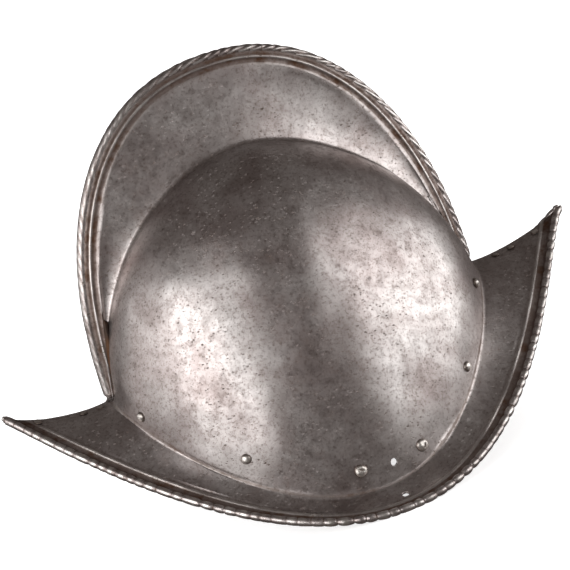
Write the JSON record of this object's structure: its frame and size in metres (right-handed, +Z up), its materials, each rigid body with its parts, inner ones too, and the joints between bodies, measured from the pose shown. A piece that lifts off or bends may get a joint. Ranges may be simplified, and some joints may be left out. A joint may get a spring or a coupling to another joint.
{
  "type": "comb morion helmet",
  "caption": "Open steel helmet with a tall roped comb, a rounded skull and a boat-shaped brim that rises to a point at front and rear.",
  "frame": {"origin": "on the floor under the middle of the helmet, midway between the two brim tips and between the two sides, where the brim's lowest edges stand", "axes": "+X towards the rear tip, -Y towards the wearer's left, +Z up through the comb"},
  "size_m": [0.3518, 0.244, 0.2537],
  "materials": {
    "skull_steel": "hand-polished plate steel, aged grey with fine pitting and brown patina in the recesses",
    "rivet_steel": "worn forged iron, dull with brighter tops"
  },
  "bodies": {
    "root": {"left_half": "skull_steel", "right_half": "skull_steel", "lining_rivet_left_front": "rivet_steel", "lining_rivet_left_fore": "rivet_steel", "lining_rivet_left_aft": "rivet_steel", "lining_rivet_left_rear": "rivet_steel", "strap_rivet_left_fore": "rivet_steel", "strap_rivet_left_aft": "rivet_steel", "lining_rivet_right_front": "rivet_steel", "lining_rivet_right_fore": "rivet_steel", "lining_rivet_right_aft": "rivet_steel", "lining_rivet_right_rear": "rivet_steel", "strap_rivet_right_fore": "rivet_steel", "strap_rivet_right_aft": "rivet_steel", "lap_rivet_front_root": "rivet_steel", "lap_rivet_front_mid": "rivet_steel", "lap_rivet_front_tip": "rivet_steel", "lap_rivet_rear_root": "rivet_steel", "lap_rivet_rear_mid": "rivet_steel", "lap_rivet_rear_tip": "rivet_steel"}
  },
  "joints": []
}
